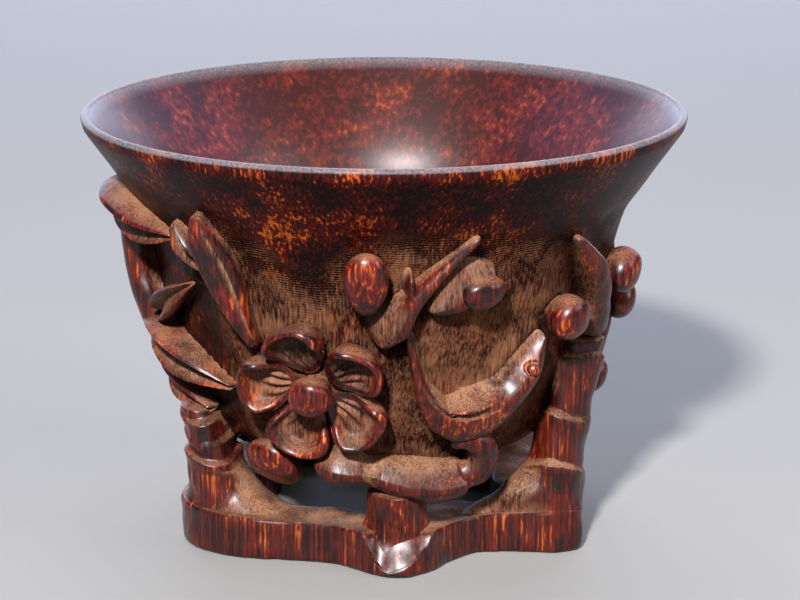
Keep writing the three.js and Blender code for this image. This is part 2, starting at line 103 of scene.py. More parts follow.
def combined(tree, operation, *terms, **settings):
    """Numbers or sockets, worked together by a maths node."""
    return add_node(tree, "Math", dict(enumerate(terms)), operation=operation, **settings).outputs["Value"]


def blend(tree, share, first, second):
    """The colour that lies a share of the way from a first one to a second one."""
    return add_node(tree, "MixRGB", {"Fac": share, "Color1": first, "Color2": second}).outputs["Color"]


bm = bmesh.new()
bmesh.ops.create_grid(bm, x_segments=1, y_segments=1, size=FLOOR_HALF)
floor = bpy.data.objects.new("floor", bpy.data.meshes.new("floor"))
bm.to_mesh(floor.data)
bm.free()
bpy.context.scene.collection.objects.link(floor)
matt_table = bpy.data.materials.new("matt_table")
matt_table.use_nodes = True
tree = matt_table.node_tree
rays = add_node(tree, "LightPath").outputs
seen = combined(tree, "ADD", rays["Is Camera Ray"], rays["Is Glossy Ray"])
pale = combined(tree, "ADD", seen, rays["Is Transmission Ray"], use_clamp=True)
table = blend(tree, pale, linear(FLOOR_BOUNCE), linear(FLOOR_COLOUR))
tree.links.new(table, tree.nodes["Principled BSDF"].inputs["Base Color"])
tree.nodes["Principled BSDF"].inputs["Roughness"].default_value = FLOOR_ROUGHNESS
floor.data.materials.append(matt_table)

for name, (place, size, power, tint) in LAMPS.items():
    lamp = bpy.data.objects.new(name, bpy.data.lights.new(name, "AREA"))
    lamp.data.shape = "RECTANGLE"
    lamp.data.size, lamp.data.size_y = size
    lamp.data.energy = power
    lamp.data.color = linear(tint)[:3]
    lamp.location = place
    lamp.rotation_euler = (AIM - place).to_track_quat("-Z", "Y").to_euler()
    bpy.context.scene.collection.objects.link(lamp)

surround = bpy.data.worlds.new("surround")
bpy.context.scene.world = surround
surround.use_nodes = True
surround.node_tree.nodes["Background"].inputs["Color"].default_value = (1, 1, 1, 1)
surround.node_tree.nodes["Background"].inputs["Strength"].default_value = SURROUND


# Bowl
# Turned and hollowed from the block: a flared, polished neck and lip over a wall that the carver scraped
# back round the tree. The hollow is rubbed smooth and dark from use.
BOWL_LIFT, CUP_HEIGHT = 10.5, 56
WAIST = 29.6
WALL = [(0, 10.5), (10.2, 10.5), (17, 11.18), (24.4, 15.96), (29.6, 31.43), (32.6, 43.26), (39.73, 54.38)]
HOLLOW = [(38.885, 55.75), (29.4, 43.26), (25.92, 31.43), (19.28, 18.44), (10.6, 15.4), (0, 15)]
LIP_MIDDLE = (39.38, 55.38)
LIP_RADIUS, LIP_SWEEP = 0.62, 143
WALL_POINTS, LIP_POINTS, HOLLOW_POINTS = 161, 15, 61
BOWL_SIDES = 360
BOWL_WELD = 1e-6
OUTER_SKIN, INNER_SKIN = -0.6, -1.0
LIP_START = 54.5
NECK_HEIGHT, NECK_HUMP, NECK_DIP, NECK_WAVE = 45.6, 2.6, 4.8, 0.7
GROUND_DEPTH = 0.35
HALO_REACH, HALO_DEPTH = 2.6, 0.35
FILLET = 0.9
# How far painted shade, with grime, reaches out from what stands on the wall, in mm
SHADE_AND_GRIME_REACH = 1.8
SCRAPE_FADE, SHADE_FADE = 2.6, 3.5
MARKS = ("polish", "scrape", "shade_and_grime", "fleck", "wear_and_sheen")


def threaded(points, share):
    """Points on a smooth curve through the given ones, by their share of the way along it. A point that is
    given twice is a sharp corner."""
    points = np.asarray(points, float)
    ends = np.vstack([points[:1], points, points[-1:]])
    way = np.clip(share, 0, 1) * (len(points) - 1)
    i = np.minimum(way.astype(int), len(points) - 2)
    t = (way - i)[:, None]
    a, b, c, d = (ends[i + k] for k in range(4))
    square, cube = 2 * a - 5 * b + 4 * c - d, 3 * b - a - 3 * c + d
    return 0.5 * (2 * b + (c - a) * t + square * t ** 2 + cube * t ** 3)


def eased(low, high, value):
    """0 below low, 1 above high, and smooth between them."""
    share = np.clip((value - low) / (high - low), 0, 1)
    return share * share * (3 - 2 * share)


def bell(value, middle, spread):
    """1 at the middle, and less and less away from it."""
    return np.exp(-((value - middle) / spread) ** 2)


wall_line = threaded(WALL, np.linspace(0, 1, WALL_POINTS))
wall_way = np.concatenate([[0], np.cumsum(np.hypot(*np.diff(wall_line, axis=0).T))])
wall_lean = np.gradient(wall_line, wall_way, axis=0)
wall_rise = np.maximum.accumulate(wall_line[:, 1] + np.arange(len(wall_line)) * 1e-6)


def up_wall(rise):
    """The way up the wall, along its surface, to a share of the bowl's height, in mm."""
    return np.interp(BOWL_LIFT + (CUP_HEIGHT - BOWL_LIFT) * np.asarray(rise), wall_rise, wall_way)


def on_wall(azimuth, up, off):
    """Points by their degrees round from the front, way up the wall and height off its surface, in mm."""
    radius, height, tilt, climb = (
        np.interp(up, wall_way, column) for column in (*wall_line.T, *wall_lean.T))
    reach = radius + off * climb
    turn = np.radians(azimuth)
    return np.stack([reach * np.sin(turn), -reach * np.cos(turn), height - off * tilt], axis=-1)


def off_wall(points):
    """Degrees round from the front, height, and distance off the bowl's outer wall, in mm."""
    x, y, z = np.asarray(points).T / MM
    radius, over, under = (np.interp(z + step, wall_rise, wall_line[:, 0]) for step in (0, 0.5, -0.5))
    return np.degrees(np.arctan2(x, -y)), z, (np.hypot(x, y) - radius) / np.hypot(1, over - under)


def neck_line(azimuth):
    """Height at which the polished neck ends and the scraped ground begins, in mm."""
    dip = NECK_DIP * bell(azimuth, -17, 9)
    hump = NECK_HUMP * bell(azimuth, -42, 8)
    return NECK_HEIGHT + hump - dip + NECK_WAVE * np.sin(np.radians(azimuth * 5 + 40))


def coords(piece):
    """The places and outward directions of a mesh's points."""
    count = len(piece.data.vertices)
    place, normal = np.empty(count * 3, np.float32), np.empty(count * 3, np.float32)
    piece.data.vertices.foreach_get("co", place)
    piece.data.vertex_normals.foreach_get("vector", normal)
    return place.reshape(-1, 3).astype(float), normal.reshape(-1, 3).astype(float)


def reshape(piece, place):
    """Moves a mesh's points."""
    piece.data.vertices.foreach_set("co", place.astype(np.float32).ravel())
    piece.data.update()


def mark(piece, name, values):
    """Keeps a value for each point of a mesh, for its material."""
    attribute = piece.data.attributes.get(name) or piece.data.attributes.new(name, "FLOAT", "POINT")
    attribute.data.foreach_set("value", np.asarray(values, np.float32))


def read(piece, name):
    """The values that were kept for the points of a mesh."""
    values = np.empty(len(piece.data.vertices), np.float32)
    piece.data.attributes[name].data.foreach_get("value", values)
    return values


def lumps(place, size, stretch=1.0):
    """Smooth noise from -1 to 1 with lumps of a size in mm, longer by the stretch along the fibres."""
    scale = Vector((1 / size, 1 / size, 1 / (size * stretch))) / MM
    return np.array([noise.noise(Vector(p) * scale) for p in place])


lip = [(LIP_MIDDLE[0] + LIP_RADIUS * math.cos(t), LIP_MIDDLE[1] + LIP_RADIUS * math.sin(t))
       for t in np.linspace(0, math.radians(LIP_SWEEP), LIP_POINTS)]
profile = [*wall_line, *lip[:-1], *threaded(HOLLOW, np.linspace(0, 1, HOLLOW_POINTS))]
bm = bmesh.new()
ring = [bm.verts.new((r * MM, 0, z * MM)) for r, z in profile]
edges = [bm.edges.new(pair) for pair in zip(ring, ring[1:])]
bmesh.ops.spin(
    bm, geom=ring + edges, cent=(0, 0, 0), axis=(0, 0, 1), angle=math.tau, steps=BOWL_SIDES, use_merge=True)
bmesh.ops.remove_doubles(bm, verts=bm.verts, dist=BOWL_WELD)
bmesh.ops.recalc_face_normals(bm, faces=bm.faces)
bowl = bpy.data.objects.new("turned_bowl", bpy.data.meshes.new("turned_bowl"))
bm.to_mesh(bowl.data)
bm.free()
bowl.data.shade_smooth()
bpy.context.scene.collection.objects.link(bowl)

# The ground round the tree is cut back a little. It is deepest close under what stands on it, and sweeps up
# to it from above
points, faces = [], []
for name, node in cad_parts.items():
    if name != "bowl":
        start = len(points)
        points.extend(v.co.copy() for v in node.data.vertices)
        faces.extend([start + i for i in f.vertices] for f in node.data.polygons)
carving = BVHTree.FromPolygons(points, faces)
place, outward = coords(bowl)
azimuth, height, off = off_wall(place)
skin = off > OUTER_SKIN
outside = skin & (height < LIP_START)
near, above = np.full(len(place), HALO_REACH), np.zeros(len(place))
for i in np.flatnonzero(outside):
    foot, _, _, gap = carving.find_nearest(Vector(place[i]), HALO_REACH * MM)
    if gap:
        near[i] = gap / MM
        above[i] = (place[i, 2] - foot.z) / gap
close = 1 - near / HALO_REACH
below = neck_line(azimuth) - height + 0.8 * lumps(place, 3.0)
ground = outside * eased(-1.6, 2.0, below)
depth = ground * (GROUND_DEPTH + 0.07 * lumps(place, 4.5) + 0.05 * lumps(place, 1.4, stretch=3))
depth += ground * close ** 2 * (HALO_DEPTH * eased(-0.2, 0.5, -above) - FILLET * eased(0, 0.6, above))
reshape(bowl, place - outward * (depth * MM)[:, None])

# The ground is dusty, but less so on the left, which is rubbed, and it is darker towards the right trunk.
# Scraper's marks lie under the neck. Shade is painted in as a dark band under the neck, and painted shade,
# with some grime, lies under the tree and on the left
left_limit, right_limit = eased(0, 8, azimuth + 92), eased(0, 8, 100 - azimuth)
dusty = 1 - 0.85 * eased(40, 47, -azimuth) * left_limit
dusty -= 0.6 * eased(36, 46, azimuth) * right_limit
under_neck = np.maximum(below, 0)
mark(bowl, "polish", 1 - ground * dusty)
mark(bowl, "scrape", ground * np.exp(-under_neck / SCRAPE_FADE))
shade_and_grime = outside * np.clip(1 - near / SHADE_AND_GRIME_REACH, 0, 1) * (0.15 + 0.85 * eased(-0.5, 0.3, -above))
shade_and_grime += 0.6 * ground * np.exp(-under_neck / SHADE_FADE)
shade_and_grime += 0.8 * outside * eased(42, 50, -azimuth) * left_limit * eased(-6, 2, below)
mark(bowl, "shade_and_grime", shade_and_grime)

# Orange fibres show in a patch of the neck and along the lip. The lip's top edge and a band inside it are
# worn, and painted pale grey besides as a sheen
speckled = 0.4 * bell(azimuth, -20, 22) * eased(43, 45.5, height) * (1 - eased(48.5, 50.5, height))
edged = (0.55 + 0.55 * bell(azimuth, 20, 16)) * eased(53.2, 54.7, height)
mark(bowl, "fleck", skin * (speckled + edged))
reach = np.hypot(*place[:, :2].T) / MM
mark(bowl, "wear_and_sheen", np.where(skin, eased(55.35, 55.6, height), eased(37.9, 38.9, reach)))

PATCH, CLOUD, SPECK = 6 * MM, 4 * MM, 0.3 * MM
GRAIN_WIDTH, GRAIN_LENGTH, GRAIN_DEPTH = 0.22 * MM, 4.0 * MM, 0.22 * MM
SCRAPE_PITCH = 0.34 * MM
WAVE_PERIOD = math.tau / 20
PORE_COLOUR, FLUSH_COLOUR = "#1f110d", "#7d4728"
# Colours of painted shade with grime, and of the worn lip, painted pale as a sheen too
SHADE_AND_GRIME_COLOUR, WORN_SHEEN_COLOUR = "#120906", "#807c80"
FLECK_GAIN, SHADE_AND_GRIME_GAIN = 0.14, 0.7
MATT_ROUGHNESS, MATT_SPECULAR = 0.52, 0.4


def ranged(tree, value, low=0.0, high=1.0, start=0.0, stop=1.0):
    """A number, moved from the range low to high into the range start to stop."""
    return add_node(tree, "MapRange", {
        "Value": value, 1: low, 2: high, 3: start, 4: stop}).outputs["Result"]


def mottle(tree, spot, scale, detail, roughness, distortion=0.0):
    """Noise over the block. Three scales in place of one draw it out along an axis."""
    if isinstance(scale, tuple):
        spot = add_node(tree, "Mapping", {"Vector": spot, "Scale": scale}).outputs["Vector"]
        scale = 1
    return add_node(tree, "TexNoise", {
        "Vector": spot, "Scale": scale, "Detail": detail, "Roughness": roughness,
        "Distortion": distortion}).outputs["Fac"]


def carved_wood(
        name, dark, red, orange, dust, streak, gloss, specular, up_dust, ior=1.5, rich=0.0, patchy=1.0):
    """Dense, resinous hardwood with red and orange fibre bundles that run up the block, in streaks of a width
    and length in mm, and more of them in richer wood. Rubbed faces are near black and glossy with streaks;
    scraped ground and cut ends of the fibres are matt, paler and dusty; painted shade, with old grime,
    darkens the corners and the undersides; and the worn lip is rubbed pale and painted pale as a sheen."""
    bundle_width, bundle_length = streak[0] * MM, streak[1] * MM
    wood = bpy.data.materials.new(name)
    wood.use_nodes = True
    tree = wood.node_tree
    shader = tree.nodes["Principled BSDF"]
    spot = add_node(tree, "TexCoord").outputs["Object"]
    polish, scrape, shade_and_grime, fleck, wear_and_sheen = (
        add_node(tree, "Attribute", attribute_name=kept).outputs["Fac"] for kept in MARKS)

    # Fibre bundles, denser in some patches of the block than in others
    bundles = mottle(tree, spot, (1 / bundle_width, 1 / bundle_width, 1 / bundle_length), 3, 0.62, 0.15)
    patches = mottle(tree, spot, 1 / PATCH, 2, 0.5)
    density = ranged(tree, patches, 0.36, 0.66, rich - 0.15 * patchy, rich + 0.07 * patchy)
    rimmed = combined(tree, "MULTIPLY_ADD", fleck, FLECK_GAIN, density)
    richer = combined(tree, "ADD", bundles, rimmed)
    reds = ranged(tree, richer, 0.38, 0.60)
    oranges = ranged(tree, richer, 0.60, 0.70)
    streaks = blend(tree, reds, linear(dark), linear(red))
    rubbed = blend(tree, oranges, streaks, linear(orange))

    # Scraped ground: pale torn fibres over dark pores, which settled dust hides where the ground faces up,
    # and the marks of the scraper across them
    grain = mottle(tree, spot, (1 / GRAIN_WIDTH, 1 / GRAIN_WIDTH, 1 / GRAIN_LENGTH), 2, 0.6)
    clouds = mottle(tree, spot, 1 / CLOUD, 3, 0.6)
    cloudy = ranged(tree, clouds, 0.3, 0.7, -0.2, 0.2)
    pale = ranged(tree, combined(tree, "ADD", grain, cloudy), 0.34, 0.74)
    marks = add_node(tree, "TexWave", {
        "Vector": spot, "Scale": WAVE_PERIOD / SCRAPE_PITCH, "Distortion": 6.0, "Detail": 2,
        "Detail Scale": 0.35}, bands_direction="Z").outputs["Fac"]
    lines = combined(tree, "MULTIPLY", marks, scrape)
    normal = add_node(tree, "NewGeometry").outputs["Normal"]
    facing_up = add_node(tree, "SeparateXYZ", {0: normal}).outputs["Z"]
    settled = ranged(tree, facing_up, 0.25, 0.8, 0.0, 0.2)
    covered = combined(tree, "ADD", pale, settled)
    shaded = combined(tree, "SUBTRACT", covered, lines, use_clamp=True)
    deep = blend(tree, 0.6, rubbed, linear(PORE_COLOUR))
    matt = blend(tree, shaded, deep, linear(dust))
    flushed = blend(tree, oranges, matt, linear(FLUSH_COLOUR))

    # Cut ends of the fibres face up, and are as matt as the ground unless they were polished twice as much
    ends = ranged(tree, facing_up, 0.45, 0.85, 1.0, 1 - up_dust)
    finish = combined(tree, "MULTIPLY", polish, ends, use_clamp=True)
    face = blend(tree, finish, flushed, rubbed)

    # Painted shade, with grime, in the corners; and the worn edge of the lip, rubbed pale in specks and
    # painted pale as a sheen
    dirt_and_shade = combined(tree, "MULTIPLY", shade_and_grime, SHADE_AND_GRIME_GAIN, use_clamp=True)
    dimmed = blend(tree, dirt_and_shade, face, linear(SHADE_AND_GRIME_COLOUR))
    bare = ranged(tree, mottle(tree, spot, 1 / SPECK, 3, 0.7), 0.3, 0.7, 0.2, 0.9)
    worn_and_sheen = combined(tree, "MULTIPLY", bare, wear_and_sheen)
    tree.links.new(blend(tree, worn_and_sheen, dimmed, linear(WORN_SHEEN_COLOUR)), shader.inputs["Base Color"])

    shine = ranged(tree, finish, start=MATT_ROUGHNESS, stop=gloss)
    tree.links.new(shine, shader.inputs["Roughness"])
    sheen = ranged(tree, finish, start=MATT_SPECULAR * specular, stop=specular)
    tree.links.new(sheen, shader.inputs["Specular IOR Level"])
    shader.inputs["IOR"].default_value = ior

    # The fibres stand in fine relief, and the scraper's marks are cut across them
    cut = combined(tree, "SUBTRACT", grain, lines)
    level = ranged(tree, finish, start=0.7, stop=0.03)
    buried = ranged(tree, settled, high=0.2, start=1.0, stop=0.6)
    raised = add_node(tree, "Bump", {
        "Height": cut, "Strength": combined(tree, "MULTIPLY", level, buried), "Distance": GRAIN_DEPTH})
    tree.links.new(raised.outputs["Normal"], shader.inputs["Normal"])
    return wood


bowl.data.materials.append(carved_wood(
    "rubbed_bowl_wood", "#120706", "#4f120d", "#b4561b", "#7f543d", (0.4, 2.6),
    gloss=0.36, specular=0.24, up_dust=0, ior=1.25))
bowl.data.materials.append(carved_wood(
    "polished_hollow_wood", "#330f0c", "#5e1c14", "#84391a", "#79553f", (0.8, 1.8),
    gloss=0.39, specular=0.42, up_dust=0))
middles = np.empty(len(bowl.data.polygons) * 3, np.float32)
bowl.data.polygons.foreach_get("center", middles)
inside = off_wall(middles.reshape(-1, 3))[2] < INNER_SKIN
bowl.data.polygons.foreach_set("material_index", inside.astype(np.int32))
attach(bowl, "root")
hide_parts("bowl")


# Foot ring
# A low branch, bent round under the bowl and swelling into a lobe under each trunk. It is cut from the same
# block, with its flat underside on the table and a toe in front that is cut down to a bright, sloping facet.
RING_RADIUS, RING_WIDTH, RING_HEIGHT = 22.0, 7.5, 5.2
RING_EDGE = 0.95
LOBES = [(-59, 6.8, 28), (4, 5.0, 15), (56, 7.6, 13), (136, 5.4, 24), (-142, 5.4, 24)]
LOBE_OUTER, LOBE_INNER, LOBE_RISE = 0.05, 0.02, 0.02
TOE_AZIMUTH, TOE_SPREAD, TOE_HEIGHT, TOE_ROUND = 6, 10.5, 1.6, 0.35
TOE_SLOPE, TOE_TILT, TOE_FLAT, TOE_LIFT, TOE_EDGE = 1.55, 0.3, 0.46, 2.4, 0.08
RING_SECTION = [
    (0.82, 0, 1), (0.82, 0, 1), (0.97, 0.06, 1), (1, 0.25, 1), (0.97, 0.6, 1), (0.98, 0.86, 1),
    (0.95, 0.97, 1), (0.90, 1, 0.7), (0.4, 0.985, 0), (-0.4, 1, 0), (-0.82, 0.97, 0.1), (-0.95, 0.86, 0.8),
    (-1, 0.5, 1), (-0.98, 0.12, 1), (-0.82, 0, 1), (-0.82, 0, 1), (0.82, 0, 1),
]
SKIN_WELD = 2e-6
KNIFE_PITCH, FIBRE_PITCH, FIBRE_STRETCH = 2.6, 0.8, 5


def wrapped(node, across, along, shape, uneven, fibre):
    """A closed skin in place of a CAD solid: a flat grid, rolled up across and drawn out along, with each
    point put where the shape sends it, and knife marks and fibres left in its surface. Where it meets the
    wall, dust lies on its upper side, and painted shade, with grime, on its underside."""
    bm = bmesh.new()
    bmesh.ops.create_grid(bm, x_segments=across, y_segments=along, size=0.5)
    flat = np.array([v.co for v in bm.verts]) + 0.5
    place, rubbed = shape(flat[:, 0], flat[:, 1])
    layer = bm.verts.layers.float.new("polish")
    for vert, point, rub in zip(bm.verts, place * MM, rubbed):
        vert.co = point
        vert[layer] = rub
    bmesh.ops.remove_doubles(bm, verts=bm.verts, dist=SKIN_WELD)
    bmesh.ops.recalc_face_normals(bm, faces=bm.faces)
    piece = bpy.data.objects.new("carved_" + node, bpy.data.meshes.new("carved_" + node))
    bm.to_mesh(piece.data)
    bm.free()
    piece.data.shade_smooth()
    bpy.context.scene.collection.objects.link(piece)
    place, outward = coords(piece)
    knife = uneven * lumps(place, KNIFE_PITCH) + fibre * lumps(place, FIBRE_PITCH, FIBRE_STRETCH)
    place += outward * (knife * MM)[:, None]
    place[:, 2] = np.maximum(place[:, 2], 0)
    reshape(piece, place)
    _, height, off = off_wall(place)
    _, outward = coords(piece)
    root = (1 - eased(0.2, 1.7, off)) * (height > BOWL_LIFT)
    upper = eased(-0.15, 0.35, outward[:, 2])
    mark(piece, "polish", read(piece, "polish") * (1 - root * upper))
    # Painted shade, with grime, where the underside meets the wall
    mark(piece, "shade_and_grime", root * (1 - upper))
    return piece


def enrich(piece, fleck):
    """Puts more orange fibres into the rubbed faces of a piece."""
    mark(piece, "fleck", fleck * np.clip(read(piece, "polish"), 0, 1))


def fitted(piece, node, wood):
    """Gives a piece its wood and puts it in the place of its CAD node."""
    piece.data.materials.append(wood)
    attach(piece, "root")
    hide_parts(node)


def swell(azimuth):
    """How far the ring stands out at a direction, in mm."""
    return sum(
        lobe * bell((azimuth - centre + 180) % 360 - 180, 0, spread) for centre, lobe, spread in LOBES)


def ring_rim(azimuth):
    """The distance from the axis to the ring's upper edge at a direction, in mm."""
    lobe = swell(azimuth)
    return RING_RADIUS + lobe - RING_WIDTH / 2 + RING_EDGE * (1 + LOBE_OUTER * lobe) * RING_WIDTH / 2


def ring_shape(across, share):
    """The ring's section, drawn round the axis and stretched in the lobes. On the toe its top is cut down to
    a facet, which falls away towards the edge and is rounded where it meets the rest."""
    azimuth = share * 360 - 180
    side, rise, rub = threaded(RING_SECTION, across).T
    lobe = swell(azimuth)
    stretch = 1 + lobe * np.where(side > 0, LOBE_OUTER, LOBE_INNER)
    height = RING_HEIGHT * rise * (1 + LOBE_RISE * lobe)
    reach = RING_RADIUS + lobe - RING_WIDTH / 2 + side * stretch * RING_WIDTH / 2
    turn, toe = np.radians(azimuth), math.radians(TOE_AZIMUTH)
    x, y = reach * np.sin(turn), -reach * np.cos(turn)
    tip = ring_rim(TOE_AZIMUTH) + TOE_EDGE
    flat = y + tip * math.cos(toe)
    back = TOE_FLAT * flat + (1 - TOE_FLAT) * (ring_rim(azimuth) + TOE_EDGE - reach)
    facet = TOE_HEIGHT + TOE_TILT * (x - tip * math.sin(toe)) + TOE_SLOPE * back
    facet += TOE_LIFT * ((azimuth - TOE_AZIMUTH) / TOE_SPREAD) ** 4
    rub = np.maximum(rub, 2 * eased(-0.2, 0.5, height - facet))
    height = -TOE_ROUND * np.logaddexp(-height / TOE_ROUND, -facet / TOE_ROUND)
    return np.stack([x, y, np.maximum(height, 0)], axis=1), rub


branch_wood = carved_wood(
    "rubbed_branch_wood", "#1d0b08", "#60190f", "#ad5a24", "#966b51", (0.38, 12),
    gloss=0.33, specular=0.42, up_dust=0.5, patchy=0.65)
foot_ring = wrapped("foot_ring", 96, 420, ring_shape, uneven=0.22, fibre=0.05)
fitted(foot_ring, "foot_ring", branch_wood)


# Trunks
# Five gnarled plum trunks that stand on the ring and lean in against the bowl, with the ledges where older
# growth ends. They are cut free of the wall low down, so the light comes through, and dusty webs of wood run
# from the left and right ones along the ring.
KNUCKLE, KNUCKLE_SLOPE = 0.12, 0.03
LEDGE_SLOPE, LEDGE_WAVE = 0.7, 0.4
ROOT_SPREAD, ROOT_FADE = 0.75, 2.0
WEB_HEIGHT, WEB_INSET = 8.0, 1.6
FRONT_FLECK = 0.45
TRUNKS = {
    "left_trunk": {
        "azimuth": -59, "reach": 25.2, "low": 4.5, "foot": 4.2, "top": 3.0, "rubbed": 0.9, "tilt": 0.3,
        "web": (1.4, -18), "ledges": [12.4, 14.8, 17.4], "stations": [(-60, 0.12, 2.4), (-64, 0.21, 1.4)]},
    "front_trunk": {
        "azimuth": 4, "reach": 21.64, "low": 2.4, "foot": 4.0, "top": 4.0, "rubbed": 1, "tilt": 0,
        "web": (0, 0), "ledges": [], "stations": [(4.5, 0.055, 2.0)]},
    "right_trunk": {
        "azimuth": 56, "reach": 26.2, "low": 4.5, "foot": 4.0, "top": 2.6, "rubbed": 0.2, "tilt": 0.9,
        "web": (1.9, 197), "ledges": [10.8, 17.6, 25.8],
        "stations": [(57.5, 0.13, 2.9), (59, 0.25, 1.6), (60.5, 0.42, 1.0)]},
    "back_right_trunk": {
        "azimuth": 136, "reach": 24.2, "low": 4.5, "foot": 4.2, "top": 2.5, "rubbed": 0.5, "tilt": 0.9,
        "web": (0, 0), "ledges": [9.5, 15.5, 21],
        "stations": [(134, 0.13, 3.0), (130, 0.24, 2.0), (124, 0.35, 1.2)]},
    "back_left_trunk": {
        "azimuth": -142, "reach": 24.2, "low": 4.5, "foot": 4.2, "top": 2.5, "rubbed": 0.5, "tilt": -0.9,
        "web": (0, 0), "ledges": [11, 16.5, 22],
        "stations": [(-139, 0.13, 3.0), (-134, 0.24, 2.0), (-127, 0.36, 1.2)]},
}


def trunk_shape(azimuth, reach, low, foot, top, rubbed, tilt, web, ledges, stations):
    """A trunk from its foot, by direction, distance from the axis and height, up through its points, with
    its girth at foot and top. Its ledges are more or less rubbed, and tilted. Its root runs out along the
    ring, and so does its web, given as how far it spreads and the heading it takes. Both stay within the
    ring's edge."""
    turn = math.radians(azimuth)
    root = [reach * math.sin(turn), -reach * math.cos(turn), low]
    rest = [on_wall(degrees, up_wall(rise), off) for degrees, rise, off in stations]
    path = threaded([root, *rest], np.linspace(0, 1, 60))
    high = path[-1, 2]
    web_spread, web_heading = web[0], math.radians(web[1])

    def shape(across, share):
        angle = across * math.tau
        height = low + (high - low) * share
        outward, onward = np.sin(angle - turn), np.cos(angle - turn)
        level = height + tilt * onward + LEDGE_WAVE * np.sin(2 * angle + 2 * azimuth + height / 4)
        girth = foot + (top - foot) * share

        # Each length of growth swells from its ledge to the next one
        stops = [low - 0.5, *ledges, high + 4]
        bulge, rub = np.zeros(len(share)), np.ones(len(share))
        last = None
        for start, stop in zip(stops, stops[1:]):
            inside = (level >= start) & (level < stop)
            knuckle = min(KNUCKLE, KNUCKLE_SLOPE * (stop - start))
            climb = np.clip((level - start - LEDGE_SLOPE) / (stop - start - LEDGE_SLOPE), 0, 1)
            grown = knuckle * (2 * climb ** 1.3 - 1)
            if last is not None:
                rise = np.clip((level - start) / LEDGE_SLOPE, 0, 1)
                grown = np.where(rise < 1, last - (last + knuckle) * rise, grown)
                rub = np.where(inside & (rise < 1), rubbed, rub)
            bulge = np.where(inside, grown, bulge)
            last = knuckle

        # The root and the web spread low down, and dust lies on them
        spread = ROOT_SPREAD * np.exp(-(height - low) / ROOT_FADE) * (1 - 0.6 * np.abs(outward))
        dust = 0.8 * eased(0.12, 0.35, spread) * (1 - np.abs(outward))
        aside = min(web_spread, 1) * np.clip(np.cos(angle - web_heading), 0, 1) ** 4
        slope = np.clip(1 - (height - low) / WEB_HEIGHT, 0, 1) ** 1.5
        spread = spread + web_spread * aside * slope
        dust = np.maximum(dust, 0.95 * eased(0.2, 0.6, aside) * eased(0, 0.1, slope))
        rub = rub * (1 - dust)

        lobed = 0.05 * np.cos(2 * angle + azimuth) + 0.045 * np.cos(3 * angle + 2 + height / 5)
        crown = np.sqrt(np.clip((1 - share) * (high - low), 0, 1)) * np.sqrt(np.clip(share * 80, 0, 1))
        radius = girth * (1 + bulge * (0.75 + 0.45 * np.sin(2 * angle + height)) + spread + lobed) * crown
        middle = np.stack([np.interp(height, path[:, 2], path[:, k]) for k in (0, 1)], axis=1)
        spot = middle + radius[:, None] * np.stack([np.cos(angle), np.sin(angle)], axis=1)

        # What would stand out over the ring's edge is held back to it
        out = np.hypot(*spot.T)
        rim = ring_rim(np.degrees(np.arctan2(spot[:, 0], -spot[:, 1]))) - WEB_INSET * aside
        free = eased(RING_HEIGHT + 0.4, RING_HEIGHT + 2.4 + 0.6 * WEB_HEIGHT * aside, height)
        held = 1 + (np.minimum(1, rim / out) - 1) * (1 - free)
        return np.column_stack([spot * held[:, None], height]), rub

    return shape


for node, stem in TRUNKS.items():
    piece = wrapped(node, 90, 130, trunk_shape(**stem), uneven=0.16, fibre=0.04)
    if node == "front_trunk":
        enrich(piece, FRONT_FLECK)
    fitted(piece, node, branch_wood)


# Branches
# The thick front branch has a dusty slope for its top, a broad rubbed edge, a round belly, a groove across it
# and a curled stub at its end; a second one runs round the back. Both stand proud of the wall.
BOUGH = [
    (-1.3, 0.8, 0), (-1.1, 1.1, 0), (-0.6, 0.98, 0), (-0.15, 0.78, 0), (0.25, 0.6, 0), (0.52, 0.43, 0.2),
    (0.74, 0.14, 0.7), (0.91, -0.12, 0.9), (1, -0.34, 1), (0.88, -0.66, 1), (0.45, -0.94, 1), (0, -1, 1),
    (-0.6, -0.8, 1), (-1.2, -0.4, 1), (-1.3, 0.8, 0),
]
SHOOT = [
    (-1.2, 0, 1), (-0.75, 0.65, 0.4), (0, 0.9, 0.1), (0.6, 0.75, 0.7), (0.95, 0.3, 1), (1, -0.1, 1),
    (0.75, -0.7, 1), (0, -1, 1), (-0.75, -0.7, 1), (-1.2, 0, 1),
]
BRANCHES = {
    "front_branch": (
        BOUGH, [2.0, 2.9, 2.4, 3.3, 3.5, 3.1, 2.5],
        [(-20, 0.12, 1.4), (-8, 0.11, 1.5), (6, 0.085, 1.8), (17, 0.075, 2.1), (25, 0.08, 2.2)]),
    "branch_hook": (
        SHOOT, [2.3, 2.2, 1.9, 1.3, 0.9],
        [(22, 0.075, 2.2), (27.5, 0.1, 2.4), (27.2, 0.15, 2.2), (22.5, 0.178, 2.0), (18, 0.17, 1.6)]),
    "back_branch": (
        BOUGH, [2.0, 2.9, 2.4, 3.1, 2.5, 1.8],
        [(112, 0.08, 1.6), (150, 0.07, 2.0), (178, 0.09, 1.6), (205, 0.07, 1.4)]),
}
BRANCH_END = 1.4
STRIDE = 0.01
GROOVE_POINTS = 40


def unit(rows):
    """Rows of vectors, each made one long."""
    return rows / np.maximum(np.linalg.norm(rows, axis=1, keepdims=True), 1e-9)


def curve_length(points):
    """The length of the smooth curve through some points."""
    return np.linalg.norm(np.diff(threaded(points, np.linspace(0, 1, 80)), axis=0), axis=1).sum()


def course(points, share):
    """The short step that a curve takes at a share of the way along it."""
    return threaded(points, np.minimum(share + STRIDE, 1)) - threaded(points, np.maximum(share - STRIDE, 0))


